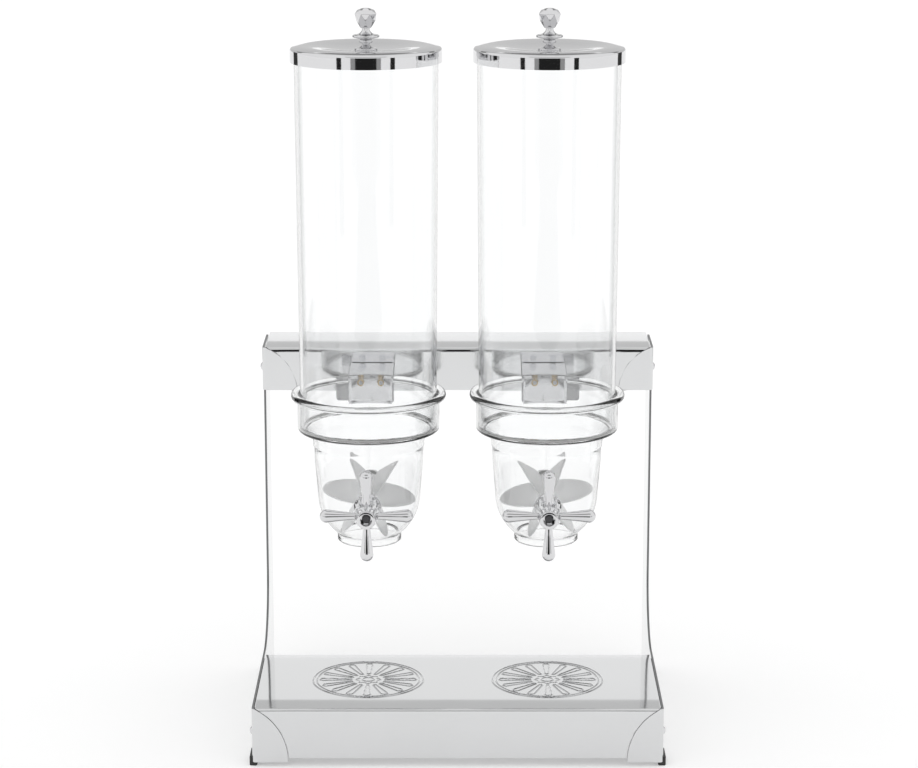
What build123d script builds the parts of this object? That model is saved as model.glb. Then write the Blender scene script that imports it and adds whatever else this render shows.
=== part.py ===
from build123d import *
from math import cos, radians, sin, sqrt
import os

# Double cereal dispenser: a folded steel stand that carries two clear containers.
#
# Millimetres, +Z up, +X to the user's right, +Y away from the user. The origin is at the middle
# of the footprint, on the table. Each container is a tapered tube in the collar of a clear bowl;
# a cross handle in front of the bowl turns a paddle wheel that meters the cereal into the spout.

os.makedirs("parts", exist_ok=True)

# Stand, front to back
overall_width = 354.0
frame_depth = 272.0
plate_thickness = 2.0
deck_height = 52.0
deck_depth = 148.0
plate_bottom = 3.5
panel_bottom = 7.5
seam = 0.8
fold_thickness = 1.5
fold_radius = 2.2
corner_flange_width = 29.0
upright_width = 56.0
upright_root_radius = 58.0
bottom_round = 15.0
top_round = 17.0

# Cross beam that the containers hang on
beam_top = 325.5
beam_height = 39.5
beam_depth = 70.0
beam_lip = 9.0

# Containers
container_spacing = 154.0
container_setback = 78.0
tube_bottom_radius = 58.8
tube_top_radius = 61.0
tube_wall = 2.4
tube_top = 609.2
tube_seat = 285.0
tube_clearance = 0.5

# Bowl below the tube
collar_wall = 2.0
collar_bottom = 280.5
collar_floor = 2.5
collar_lip_height = 311.0
collar_lip_radius = 3.3
neck_radius = 45.2
bowl_wall = 2.4
bowl_inner_radius = 42.0
shaft_height = 223.0
spout_bottom = 181.5
spout_inner_radius = 25.2
spout_wall = 2.5

# Metering drive
handle_reach = 90.0
arm_setback = 15.0
arm_length = 39.6
shaft_radius = 4.0
running_clearance = 0.05
square_side = 5.6
square_clearance = 0.1
bush_radius = 6.0
bush_flange_radius = 8.5
bush_flange = 1.5
boss_radius = 10.0
boss_height = 5.5
paddle_clearance = 1.0
paddle_core_radius = 8.0
vane_thickness = 2.2
vane_count = 6
vane_phase = 7.0

# Lid and knob
lid_rim_bottom = 598.5
lid_rim_radius = 64.3
lid_sheet = 1.0
lid_shoulder = 610.5
lid_crest = 612.0
lid_centre = 608.5
knob_height = 34.5
knob_foot_radius = 9.7

# Hanger between bowl and beam
hanger_width = 43.0
hanger_sheet = 2.0
hanger_top = 312.6
hanger_bottom = 288.0
pad_face = 67.5
wall_plate = 2.5
hook_gap = 0.7
hook_depth = 8.0
screw_pitch = 19.0
insert_radius = 3.1
insert_length = 4.0

# Fasteners
screw_radius = 2.0
screw_hole_radius = 2.2
screw_head_radius = 4.0
screw_head_height = 2.4
nut_flats = 7.0
nut_height = 3.2
contact_gap = 0.3

# Worked out from the sizes above
half_width = overall_width / 2
inner_x = half_width - plate_thickness
overall_depth = frame_depth + handle_reach - container_setback
front_y = overall_depth / 2 - frame_depth
back_y = front_y + frame_depth
upright_front_y = back_y - upright_width
beam_front_y = back_y - 2.0 - beam_depth
beam_back_y = beam_front_y + beam_depth
beam_bottom = beam_top - beam_height
beam_cut_bottom = beam_bottom + panel_bottom - plate_bottom
container_y = front_y + container_setback
container_x = container_spacing / 2
collar_inner_radius = tube_bottom_radius + tube_clearance
collar_outer_radius = collar_inner_radius + collar_wall
bowl_outer_radius = bowl_inner_radius + bowl_wall
boss_face = bowl_inner_radius + boss_height
paddle_radius = bowl_inner_radius - paddle_clearance
pad_y = container_y + pad_face
wall_plate_y = beam_front_y - wall_plate

front_plane = Plane(origin=(0, front_y, 0), x_dir=(1, 0, 0), z_dir=(0, -1, 0))
beam_plane = Plane(origin=(0, beam_front_y, 0), x_dir=(1, 0, 0), z_dir=(0, -1, 0))


def corner_points(side, top, bottom, grow):
    """Three points of the curved cut at a folded corner, from the top edge to the bottom one."""
    width = corner_flange_width + grow
    drop = top - bottom
    start = (side * inner_x, top + grow)
    middle = (side * (inner_x - 0.56 * width), top - 0.28 * drop + grow)
    end = (side * (inner_x - width), bottom)
    return start, middle, end


def facing(y):
    """Upright plane across the object at y, looking at the front."""
    return Plane(origin=(0, y, 0), x_dir=(1, 0, 0), z_dir=(0, -1, 0))


# ---------------------------------------------------------------- stand
# Side plates: one flat cut-out each, folded round the front corners of the base and the beam.
stand_screws = [(front_y + 12, (deck_height + plate_bottom) / 2 + 1),
                (front_y + deck_depth - 16, (deck_height + plate_bottom) / 2 + 1)]
beam_screws = [(beam_front_y + 12, (beam_top + beam_bottom) / 2),
               (beam_back_y - 14, (beam_top + beam_bottom) / 2)]
for side, name in ((-1, "side_plate_left"), (1, "side_plate_right")):
    with BuildPart() as plate:
        with BuildSketch(Plane.YZ.offset(side * half_width)) as outline:
            with BuildLine():
                Polyline((front_y, plate_bottom), (front_y, deck_height),
                         (upright_front_y, deck_height), (upright_front_y, beam_bottom),
                         (beam_front_y, beam_bottom), (beam_front_y, beam_top),
                         (back_y, beam_top), (back_y, plate_bottom), (front_y, plate_bottom))
            make_face()
            fillet(outline.vertices().sort_by_distance((upright_front_y, deck_height))[0],
                   radius=upright_root_radius)
            fillet(outline.vertices().sort_by_distance((upright_front_y, beam_bottom))[0],
                   radius=6.0)
            fillet(outline.vertices().sort_by_distance((back_y, beam_top))[0], radius=top_round)
            fillet(outline.vertices().sort_by_distance((back_y, plate_bottom))[0],
                   radius=bottom_round)
        extrude(amount=-side * plate_thickness)
        for plane, top, bottom, foot in ((front_plane, deck_height, panel_bottom, plate_bottom),
                                         (beam_plane, beam_top, beam_cut_bottom, beam_bottom)):
            start, middle, end = corner_points(side, top, bottom, 0)
            with BuildSketch(plane):
                with BuildLine():
                    ThreePointArc(start, middle, end)
                    Polyline(end, (end[0], foot), (side * half_width, foot),
                             (side * half_width, top), start)
                make_face()
            extrude(amount=-plate_thickness)
        with Locations(*[Plane.YZ.offset(side * half_width).location * Pos(y, z, 0)
                         for y, z in stand_screws + beam_screws]):
            Hole(radius=screw_hole_radius, depth=2 * plate_thickness)
        corners = plate.edges().filter_by(Axis.Z).filter_by(
            lambda e: abs(abs(e.center().X) - half_width) < 0.01
            and min(abs(e.center().Y - front_y), abs(e.center().Y - beam_front_y)) < 0.01)
        fillet(corners, radius=1.6 * plate_thickness)
    plate.part.label = name
    export_step(plate.part, f"parts/{name}.step")

# Base deck: one folded sheet with a front panel, a rear skirt and end tabs, and a rosette
# pressed into its top under each spout.
deck_edge_x = inner_x - seam
deck_back_y = front_y + deck_depth
rosette_radius = 49.0
rosette_offset = 3.0
with BuildPart() as base_deck:
    with BuildSketch(Plane.YZ.offset(-deck_edge_x)) as section:
        with BuildLine():
            Polyline((front_y, panel_bottom), (front_y, deck_height), (deck_back_y, deck_height),
                     (deck_back_y, deck_height - 22), (deck_back_y - fold_thickness, deck_height - 22),
                     (deck_back_y - fold_thickness, deck_height - fold_thickness),
                     (front_y + fold_thickness, deck_height - fold_thickness),
                     (front_y + fold_thickness, panel_bottom), (front_y, panel_bottom))
        make_face()
        for y in (front_y, deck_back_y):
            fillet(section.vertices().sort_by_distance((y, deck_height))[0], radius=fold_radius)
    extrude(amount=2 * deck_edge_x)
    for side in (-1, 1):
        start, middle, end = corner_points(side, deck_height, panel_bottom, seam)
        with BuildSketch(front_plane):
            with BuildLine():
                ThreePointArc(start, middle, end)
                Polyline(end, (side * half_width, panel_bottom), (side * half_width, start[1]), start)
            make_face()
        extrude(amount=-(plate_thickness + seam), mode=Mode.SUBTRACT)
        with BuildSketch(Plane.YZ.offset(side * inner_x)) as tab:
            with Locations((front_y + deck_depth / 2, (deck_height + plate_bottom) / 2 + 3)):
                RectangleRounded(deck_depth - 16, deck_height - plate_bottom - 12, 4)
            with Locations((front_y + deck_depth / 2, deck_height - 5)):
                Rectangle(deck_depth - 16, 10 - 0.4)
            with Locations(*stand_screws):
                Circle(screw_hole_radius, mode=Mode.SUBTRACT)
        extrude(amount=-side * fold_thickness)
    for side in (-1, 1):
        with BuildSketch(Plane.XY.offset(deck_height)):
            with Locations((side * (container_x + rosette_offset), container_y)):
                for radius, width in ((rosette_radius, 0.9), (rosette_radius - 3.6, 0.8),
                                      (10.0, 0.7), (5.0, 0.7)):
                    Circle(radius)
                    Circle(radius - width, mode=Mode.SUBTRACT)
        extrude(amount=-0.5, mode=Mode.SUBTRACT)
        for grow, mode in ((0, Mode.SUBTRACT), (-0.7, Mode.ADD)):
            with BuildSketch(Plane.XY.offset(deck_height)):
                with Locations((side * (container_x + rosette_offset), container_y)):
                    with PolarLocations(27.0, 16):
                        SlotOverall(29.0 + 2 * grow, 4.6 + 2 * grow)
            extrude(amount=-0.5, mode=mode)
base_deck.part.label = "base_deck"
export_step(base_deck.part, "parts/base_deck.step")

# Cross beam: an upside-down channel with returned lower lips and end tabs.
with BuildPart() as top_beam:
    with BuildSketch(Plane.YZ.offset(-deck_edge_x)) as section:
        with Locations((beam_front_y + beam_depth / 2, beam_bottom + beam_height / 2)):
            Rectangle(beam_depth, beam_height)
        for y in (beam_front_y, beam_back_y):
            fillet(section.vertices().sort_by_distance((y, beam_top))[0], radius=fold_radius)
        with Locations((beam_front_y + beam_depth / 2, beam_bottom + beam_height / 2)):
            Rectangle(beam_depth - 2 * fold_thickness, beam_height - 2 * fold_thickness,
                      mode=Mode.SUBTRACT)
        with Locations((beam_front_y + beam_depth / 2, beam_bottom)):
            Rectangle(beam_depth - 2 * beam_lip, 3 * fold_thickness, mode=Mode.SUBTRACT)
    extrude(amount=2 * deck_edge_x)
    for side in (-1, 1):
        start, middle, end = corner_points(side, beam_top, beam_cut_bottom, seam)
        with BuildSketch(beam_plane):
            with BuildLine():
                ThreePointArc(start, middle, end)
                Polyline(end, (end[0], beam_bottom), (side * half_width, beam_bottom),
                         (side * half_width, start[1]), start)
            make_face()
        extrude(amount=-(plate_thickness + seam), mode=Mode.SUBTRACT)
        with BuildSketch(Plane.YZ.offset(side * inner_x)) as tab:
            with Locations((beam_front_y + beam_depth / 2, beam_bottom + beam_height / 2)):
                Rectangle(beam_depth - 8, beam_height - 1)
            with Locations((back_y, beam_top)):
                Circle(top_round - 4, mode=Mode.SUBTRACT)
            with Locations(*beam_screws):
                Circle(screw_hole_radius, mode=Mode.SUBTRACT)
        extrude(amount=-side * fold_thickness)
    with Locations(*[beam_plane.location * Pos(side * container_x + x, hanger_top + 4.0, 0)
                     for side in (-1, 1) for x in (-screw_pitch / 2, screw_pitch / 2)]):
        Hole(radius=screw_hole_radius, depth=2 * fold_thickness)
top_beam.part.label = "top_beam"
export_step(top_beam.part, "parts/top_beam.step")

# Dome-head screws through the side plates into the tabs, with their nuts.
for name, points in (("base_screws", stand_screws), ("beam_screws", beam_screws)):
    with BuildPart() as screws:
        for side in (-1, 1):
            for y, z in points:
                with BuildSketch(Plane(origin=(side * half_width, y, z), x_dir=(side, 0, 0),
                                       z_dir=(0, 0, 1))):
                    with BuildLine():
                        Line((0, screw_head_radius), (0, 0))
                        Line((0, 0), (screw_head_height, 0))
                        ThreePointArc((screw_head_height, 0),
                                      (0.72 * screw_head_height, 0.66 * screw_head_radius),
                                      (0, screw_head_radius))
                    make_face()
                revolve(axis=Axis((0, y, z), (1, 0, 0)))
                with BuildSketch(Plane.YZ.offset(side * half_width)):
                    with Locations((y, z)):
                        Circle(screw_radius)
                extrude(amount=-side * (plate_thickness + fold_thickness + nut_height + 1.5))
    screws.part.label = name
    export_step(screws.part, f"parts/{name}.step")

with BuildPart() as stand_nuts:
    for side in (-1, 1):
        with BuildSketch(Plane.YZ.offset(side * (inner_x - fold_thickness))):
            with Locations(*(stand_screws + beam_screws)):
                RegularPolygon(nut_flats / 2, 6, major_radius=False)
                Circle(screw_radius, mode=Mode.SUBTRACT)
        extrude(amount=-side * nut_height)
stand_nuts.part.label = "stand_nuts"
export_step(stand_nuts.part, "parts/stand_nuts.step")

# Rubber feet: grooved caps pushed on to the lower edge of each side plate.
foot_length = 22.0
foot_cheek = 2.3
foot_height = 8.0
with BuildPart() as rubber_feet:
    for side in (-1, 1):
        for y in (front_y + plate_thickness + foot_length / 2 + 0.3,
                  back_y - bottom_round - foot_length / 2):
            with BuildSketch(facing(y - foot_length / 2)) as cap:
                with Locations((side * (half_width - plate_thickness / 2), foot_height / 2)):
                    Rectangle(plate_thickness + 2 * foot_cheek, foot_height)
                chamfer(cap.vertices().group_by(Axis.Y)[0], length=0.9)
                with Locations((side * (half_width - plate_thickness / 2),
                                plate_bottom + foot_height / 2)):
                    Rectangle(plate_thickness, foot_height, mode=Mode.SUBTRACT)
            extrude(amount=-foot_length)
rubber_feet.part.label = "rubber_feet"
export_step(rubber_feet.part, "parts/rubber_feet.step")

# ---------------------------------------------------------------- the two containers
for side, unit in ((-1, "left"), (1, "right")):
    x0 = side * container_x
    y0 = container_y
    post = Axis((x0, y0, 0), (0, 0, 1))
    spin = Axis((x0, y0, shaft_height), (0, 1, 0))
    radial = Plane(origin=(x0, y0, 0), x_dir=(1, 0, 0), z_dir=(0, -1, 0))
    along_shaft = Plane(origin=(x0, y0, shaft_height), x_dir=(0, -1, 0), z_dir=(1, 0, 0))

    # Tube: moulded clear, slightly tapered, with a rounded bead round its mouth.
    bead_radius = 1.4
    with BuildPart() as tube:
        with BuildSketch(radial) as wall:
            with BuildLine():
                Polyline((tube_bottom_radius - tube_wall, tube_seat), (tube_bottom_radius, tube_seat),
                         (tube_top_radius, tube_top), (tube_top_radius - tube_wall, tube_top),
                         (tube_bottom_radius - tube_wall, tube_seat))
            make_face()
            fillet(wall.vertices(), radius=0.8)
            with Locations((tube_top_radius, tube_top - 4)):
                Circle(bead_radius)
        revolve(axis=post)
    tube.part.label = f"tube_{unit}"
    export_step(tube.part, f"parts/tube_{unit}.step")

    # Seal: a soft ring on the collar's floor that the tube stands on.
    seal_top = tube_seat - 0.1
    seal_bottom = collar_bottom + collar_floor
    with BuildPart() as seal:
        with BuildSketch(radial) as ring:
            with Locations((tube_bottom_radius - tube_wall / 2, (seal_top + seal_bottom) / 2)):
                RectangleRounded(tube_wall + 0.6, seal_top - seal_bottom, 0.6)
        revolve(axis=post)
    seal.part.label = f"seal_{unit}"
    export_step(seal.part, f"parts/seal_{unit}.step")

    # Bowl: collar with a rolled lip, a stepped neck, a wall that runs into a part sphere round
    # the shaft, and a short spout ring. A flat pad behind the collar takes the hanger.
    sphere_outer_z = shaft_height - sqrt(bowl_outer_radius ** 2 - (spout_inner_radius + 1.6) ** 2)
    sphere_inner_z = shaft_height - sqrt(bowl_inner_radius ** 2 - spout_inner_radius ** 2)
    spout_outer_radius = spout_inner_radius + spout_wall
    neck_outer_radius = neck_radius + bowl_wall
    sphere_arc = radians(35)
    pad_root = pad_face - insert_length - 0.9 * collar_inner_radius
    with BuildPart() as bowl:
        with BuildSketch(radial) as section:
            with BuildLine():
                Polyline((collar_inner_radius, collar_lip_height + 1.5),
                         (collar_outer_radius, collar_lip_height + 1.5),
                         (collar_outer_radius, collar_bottom + 2.5))
                ThreePointArc((collar_outer_radius, collar_bottom + 2.5),
                              (collar_outer_radius - 0.7, collar_bottom + 0.7),
                              (collar_outer_radius - 2.5, collar_bottom))
                Line((collar_outer_radius - 2.5, collar_bottom),
                     (neck_outer_radius + 7.0, collar_bottom))
                ThreePointArc((neck_outer_radius + 7.0, collar_bottom),
                              (neck_outer_radius + 2.4, collar_bottom - 5.5),
                              (neck_outer_radius + 0.6, collar_bottom - 13.5))
                Polyline((neck_outer_radius + 0.6, collar_bottom - 13.5),
                         (neck_outer_radius, collar_bottom - 14.5),
                         (neck_outer_radius - 0.4, collar_bottom - 25.0),
                         (bowl_outer_radius, shaft_height))
                ThreePointArc((bowl_outer_radius, shaft_height),
                              (bowl_outer_radius * cos(sphere_arc),
                               shaft_height - bowl_outer_radius * sin(sphere_arc)),
                              (spout_inner_radius + 1.6, sphere_outer_z))
                Polyline((spout_inner_radius + 1.6, sphere_outer_z),
                         (spout_outer_radius, sphere_outer_z - 1.2),
                         (spout_outer_radius, spout_bottom + 1.0),
                         (spout_outer_radius - 1.0, spout_bottom),
                         (spout_inner_radius, spout_bottom),
                         (spout_inner_radius, sphere_inner_z))
                ThreePointArc((spout_inner_radius, sphere_inner_z),
                              (bowl_inner_radius * cos(sphere_arc),
                               shaft_height - bowl_inner_radius * sin(sphere_arc)),
                              (bowl_inner_radius, shaft_height))
                Line((bowl_inner_radius, shaft_height), (neck_radius, collar_bottom - 25.0))
                Line((neck_radius, collar_bottom - 25.0), (neck_radius, collar_bottom - 11.0))
                ThreePointArc((neck_radius, collar_bottom - 11.0),
                              (neck_radius + 2.6, collar_bottom - 3.0),
                              (neck_radius + 7.5, collar_bottom + collar_floor))
                Polyline((neck_radius + 7.5, collar_bottom + collar_floor),
                         (collar_inner_radius, collar_bottom + collar_floor),
                         (collar_inner_radius, collar_lip_height + 1.5))
            make_face()
            with Locations((collar_outer_radius + 2.3, collar_lip_height)):
                Circle(collar_lip_radius)
        revolve(axis=post)
        with BuildSketch(facing(pad_y)):
            with Locations((x0, (hanger_top + hanger_bottom) / 2)):
                RectangleRounded(hanger_width - 3, hanger_top - hanger_bottom - 2, 3)
        extrude(amount=insert_length + pad_root)
        with BuildSketch(Plane.XY.offset(seal_bottom)):
            with Locations((x0, y0)):
                Circle(collar_inner_radius)
        extrude(amount=hanger_top + 10 - seal_bottom, mode=Mode.SUBTRACT)
        for way in (-1, 1):
            with BuildSketch(facing(y0 + way * boss_face)):
                with Locations((x0, shaft_height)):
                    Circle(boss_radius)
            extrude(amount=way * (boss_face - bowl_inner_radius - 0.6))
        with BuildSketch(facing(y0 - boss_face - 1)):
            with Locations((x0, shaft_height)):
                Circle(bush_radius)
        extrude(amount=-2 * boss_face - 2, mode=Mode.SUBTRACT)
        with BuildSketch(facing(pad_y + 1)):
            with Locations(*[(x0 + x, hanger_top - 5.5) for x in (-screw_pitch / 2, screw_pitch / 2)]):
                Circle(insert_radius)
        extrude(amount=insert_length + 1, mode=Mode.SUBTRACT)
    bowl.part.label = f"bowl_{unit}"
    export_step(bowl.part, f"parts/bowl_{unit}.step")

    # Lid: spun from one sheet, with a deep rim, a raised crown and a shallow dish in the middle.
    rim_inner = lid_rim_radius - lid_sheet
    crown_radius = 0.8 * lid_rim_radius
    knob_seat_radius = knob_foot_radius + 0.8
    with BuildPart() as lid:
        with BuildSketch(radial):
            with BuildLine():
                Line((rim_inner, lid_rim_bottom), (lid_rim_radius, lid_rim_bottom))
                Line((lid_rim_radius, lid_rim_bottom), (lid_rim_radius, lid_shoulder - 2.4))
                ThreePointArc((lid_rim_radius, lid_shoulder - 2.4),
                              (lid_rim_radius - 0.7, lid_shoulder - 0.7),
                              (lid_rim_radius - 2.4, lid_shoulder))
                Spline((lid_rim_radius - 2.4, lid_shoulder), (crown_radius, lid_crest),
                       (0.45 * lid_rim_radius, (lid_crest + 2 * lid_centre) / 3),
                       (knob_seat_radius, lid_centre), tangents=((-1, 0.1), (-1, 0)))
                Polyline((knob_seat_radius, lid_centre), (screw_hole_radius, lid_centre),
                         (screw_hole_radius, lid_centre - lid_sheet),
                         (knob_seat_radius, lid_centre - lid_sheet))
                Spline((knob_seat_radius, lid_centre - lid_sheet),
                       (0.45 * lid_rim_radius, (lid_crest + 2 * lid_centre) / 3 - lid_sheet),
                       (crown_radius, lid_crest - lid_sheet),
                       (lid_rim_radius - 2.4, lid_shoulder - lid_sheet), tangents=((1, 0), (1, -0.1)))
                ThreePointArc((lid_rim_radius - 2.4, lid_shoulder - lid_sheet),
                              (rim_inner - 0.4, lid_shoulder - lid_sheet - 0.4),
                              (rim_inner, lid_shoulder - 2.4))
                Line((rim_inner, lid_shoulder - 2.4), (rim_inner, lid_rim_bottom))
            make_face()
        revolve(axis=post)
    lid.part.label = f"lid_{unit}"
    export_step(lid.part, f"parts/lid_{unit}.step")

    # Lid knob: a turned stem with a saucer, under an eight-sided cut crown.
    knob_top = lid_centre + knob_height
    crown_base = knob_top - 16.5
    crown_girdle = knob_top - 4.4
    with BuildPart() as knob:
        with BuildSketch(radial):
            with BuildLine():
                Polyline((0, lid_centre), (knob_foot_radius, lid_centre),
                         (knob_foot_radius, lid_centre + 0.9))
                ThreePointArc((knob_foot_radius, lid_centre + 0.9), (5.0, lid_centre + 2.3),
                              (3.2, lid_centre + 4.6))
                ThreePointArc((3.2, lid_centre + 4.6), (5.8, lid_centre + 6.9),
                              (4.4, lid_centre + 8.9))
                Line((4.4, lid_centre + 8.9), (10.6, lid_centre + 10.2))
                ThreePointArc((10.6, lid_centre + 10.2), (11.6, lid_centre + 11.2),
                              (10.6, lid_centre + 12.2))
                ThreePointArc((10.6, lid_centre + 12.2), (5.4, lid_centre + 13.6),
                              (3.0, lid_centre + 16.0))
                Polyline((3.0, lid_centre + 16.0), (3.0, crown_base + 0.5), (0, crown_base + 0.5),
                         (0, lid_centre))
            make_face()
        revolve(axis=post)
        for low, high in (((crown_base, 4.6), (crown_girdle, 9.9)),
                          ((crown_girdle, 9.9), (knob_top, 3.4))):
            for z, radius in (low, high):
                with BuildSketch(Plane(origin=(x0, y0, z))):
                    RegularPolygon(radius, 8, rotation=22.5)
            loft(ruled=True)
        with BuildSketch(Plane(origin=(x0, y0, lid_centre))):
            Circle(screw_radius)
        extrude(amount=10.5, mode=Mode.SUBTRACT)
    knob.part.label = f"lid_knob_{unit}"
    export_step(knob.part, f"parts/lid_knob_{unit}.step")

    # Knob screw: pan head under the lid, up into the knob's threaded hole.
    with BuildPart() as lid_screw:
        with BuildSketch(Plane(origin=(x0, y0, lid_centre - lid_sheet))):
            Circle(screw_head_radius)
        extrude(amount=-screw_head_height)
        fillet(lid_screw.edges().sort_by(Axis.Z)[0], radius=0.8)
        with BuildSketch(Plane(origin=(x0, y0, lid_centre - lid_sheet))):
            Circle(screw_radius)
        extrude(amount=lid_sheet + 9.5)
    lid_screw.part.label = f"lid_screw_{unit}"
    export_step(lid_screw.part, f"parts/lid_screw_{unit}.step")

    # Bushes: flanged plastic sleeves pressed into the bowl's bosses; the rear one is closed.
    bore_radius = shaft_radius + running_clearance
    sleeve_inner = bowl_inner_radius - 0.4
    rear_cap = 1.2
    for name, way, cap in (("front_bush", -1, 0.0), ("rear_bush", 1, rear_cap)):
        with BuildPart() as bush:
            with BuildSketch(facing(y0 + way * sleeve_inner)):
                with Locations((x0, shaft_height)):
                    Circle(bush_radius - 0.03)
            extrude(amount=-way * (boss_face - sleeve_inner))
            with BuildSketch(facing(y0 + way * boss_face)):
                with Locations((x0, shaft_height)):
                    Circle(bush_flange_radius)
            extrude(amount=-way * (bush_flange + cap))
            with BuildSketch(facing(y0 + way * (sleeve_inner - 1))):
                with Locations((x0, shaft_height)):
                    Circle(bore_radius)
            extrude(amount=-way * (boss_face + bush_flange - sleeve_inner + 1), mode=Mode.SUBTRACT)
        bush.part.label = f"{name}_{unit}"
        export_step(bush.part, f"parts/{name}_{unit}.step")

    # Shaft: square where it drives the paddle and the handle, round where it runs in the bushes.
    journal_start = sleeve_inner - 0.6
    shaft_rear = boss_face + bush_flange - 0.4
    shaft_front = handle_reach - 11.0
    with BuildPart() as shaft:
        with BuildSketch(facing(y0 - shaft_front)):
            with Locations((x0, shaft_height)):
                Rectangle(square_side, square_side)
        extrude(amount=-(shaft_front + journal_start))
        for start, length in ((-(handle_reach - arm_setback - 7.0 + 0.5), handle_reach - arm_setback
                               - 7.0 + 0.5 - journal_start),
                              (journal_start, shaft_rear - journal_start)):
            with BuildSketch(facing(y0 + start)):
                with Locations((x0, shaft_height)):
                    Circle(shaft_radius)
            extrude(amount=-length)
        with BuildSketch(facing(y0 - shaft_front)):
            with Locations((x0, shaft_height)):
                Circle(screw_radius)
        extrude(amount=-12, mode=Mode.SUBTRACT)
    shaft.part.label = f"shaft_{unit}"
    export_step(shaft.part, f"parts/shaft_{unit}.step")

    # Paddle wheel: one soft moulding, six round-ended vanes on a square-bored sleeve.
    sleeve_half = bowl_inner_radius - 3.5
    with BuildPart() as paddle:
        with BuildSketch(facing(y0 - sleeve_half)):
            with Locations((x0, shaft_height)):
                Circle(paddle_core_radius)
        extrude(amount=-2 * sleeve_half)
        for index in range(vane_count):
            angle = radians(side * vane_phase + 360 / vane_count * index)
            vane_plane = Plane(origin=(x0, y0, shaft_height), x_dir=(cos(angle), 0, sin(angle)),
                               z_dir=(sin(angle), 0, -cos(angle)))
            with BuildSketch(vane_plane) as vane:
                Circle(paddle_radius)
                with Locations((paddle_radius / 2 + paddle_core_radius - 2, 0)):
                    Rectangle(paddle_radius, 2 * sleeve_half, mode=Mode.INTERSECT)
                fillet(vane.vertices().group_by(Axis((x0, y0, shaft_height), vane_plane.x_dir))[-1],
                       radius=4.0)
            extrude(amount=vane_thickness / 2, both=True)
        with BuildSketch(facing(y0 - sleeve_half - 1)):
            with Locations((x0, shaft_height)):
                Rectangle(square_side + square_clearance, square_side + square_clearance)
        extrude(amount=-2 * sleeve_half - 2, mode=Mode.SUBTRACT)
    paddle.part.label = f"paddle_wheel_{unit}"
    export_step(paddle.part, f"parts/paddle_wheel_{unit}.step")

    # Escutcheon: a fluted cone over the front bush, seated on the boss.
    cone_back = 12.0
    cone_front = 8.2
    cone_face = handle_reach - arm_setback - 7.0 - 0.4
    with BuildPart() as escutcheon:
        with BuildSketch(along_shaft):
            with BuildLine():
                Polyline((boss_face, bush_flange_radius + 0.3), (boss_face, cone_back),
                         (boss_face + 1.5, cone_back))
                ThreePointArc((boss_face + 1.5, cone_back), (boss_face + 10.0, cone_back - 2.6),
                              (cone_face, cone_front))
                Polyline((cone_face, cone_front), (cone_face, shaft_radius + 0.5),
                         (boss_face + bush_flange + 0.8, shaft_radius + 0.5),
                         (boss_face + bush_flange + 0.8, bush_flange_radius + 0.3),
                         (boss_face, bush_flange_radius + 0.3))
            make_face()
        revolve(axis=spin)
    escutcheon.part.label = f"escutcheon_{unit}"
    export_step(escutcheon.part, f"parts/escutcheon_{unit}.step")

    # Cross handle: one cast piece, a flared hub with four club-shaped arms.
    hub_front_radius = 7.5
    hub_waist_radius = 10.6
    arm_root_radius = 2.9
    arm_end_radius = 5.7
    arm_start = 0.6 * hub_waist_radius
    recess_radius = 5.0
    recess_depth = 7.0
    hub_section = Plane(origin=(x0, y0, shaft_height), x_dir=(0, -1, 0), z_dir=(1, 0, 1))
    with BuildPart() as handle:
        with BuildSketch(hub_section):
            with BuildLine():
                Polyline((handle_reach - arm_setback - 7.0, 0), (handle_reach - arm_setback - 7.0, 8.0),
                         (handle_reach - arm_setback - arm_root_radius - 0.8, hub_waist_radius),
                         (handle_reach - arm_setback + arm_root_radius + 0.8, hub_waist_radius),
                         (handle_reach - 1.0, hub_front_radius + 0.6),
                         (handle_reach, hub_front_radius), (handle_reach, 0),
                         (handle_reach - arm_setback - 7.0, 0))
            make_face()
        revolve(axis=spin)
        for index in range(4):
            angle = radians(90 * index)
            arm_plane = Plane(origin=(x0, y0 - handle_reach + arm_setback, shaft_height),
                              x_dir=(cos(angle), 0, sin(angle)), z_dir=(0, -1, 0))
            with BuildSketch(arm_plane):
                with BuildLine():
                    Polyline((arm_start, 0), (arm_start, arm_root_radius),
                             (hub_waist_radius - 1.5, arm_root_radius),
                             (arm_length - arm_end_radius, arm_end_radius))
                    ThreePointArc((arm_length - arm_end_radius, arm_end_radius),
                                  (arm_length - arm_end_radius * (1 - cos(radians(45))),
                                   arm_end_radius * sin(radians(45))), (arm_length, 0))
                    Line((arm_length, 0), (arm_start, 0))
                make_face()
            revolve(axis=Axis(arm_plane.origin, arm_plane.x_dir))
        with BuildSketch(facing(y0 - handle_reach)):
            with Locations((x0, shaft_height)):
                Circle(recess_radius)
        extrude(amount=-recess_depth, mode=Mode.SUBTRACT)
        with BuildSketch(facing(y0 - handle_reach)):
            with Locations((x0, shaft_height)):
                Circle(screw_hole_radius)
        extrude(amount=-(arm_setback + 7.0), mode=Mode.SUBTRACT)
        with BuildSketch(facing(y0 - shaft_front - 0.3)):
            with Locations((x0, shaft_height)):
                Rectangle(square_side + square_clearance, square_side + square_clearance)
        extrude(amount=-(shaft_front + 0.3 - (handle_reach - arm_setback - 7.0)), mode=Mode.SUBTRACT)
        with BuildSketch(facing(y0 - (handle_reach - arm_setback - 7.0 + 0.8))):
            with Locations((x0, shaft_height)):
                Circle(shaft_radius + 0.5)
        extrude(amount=-0.8, mode=Mode.SUBTRACT)
    handle.part.label = f"cross_handle_{unit}"
    export_step(handle.part, f"parts/cross_handle_{unit}.step")

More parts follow.
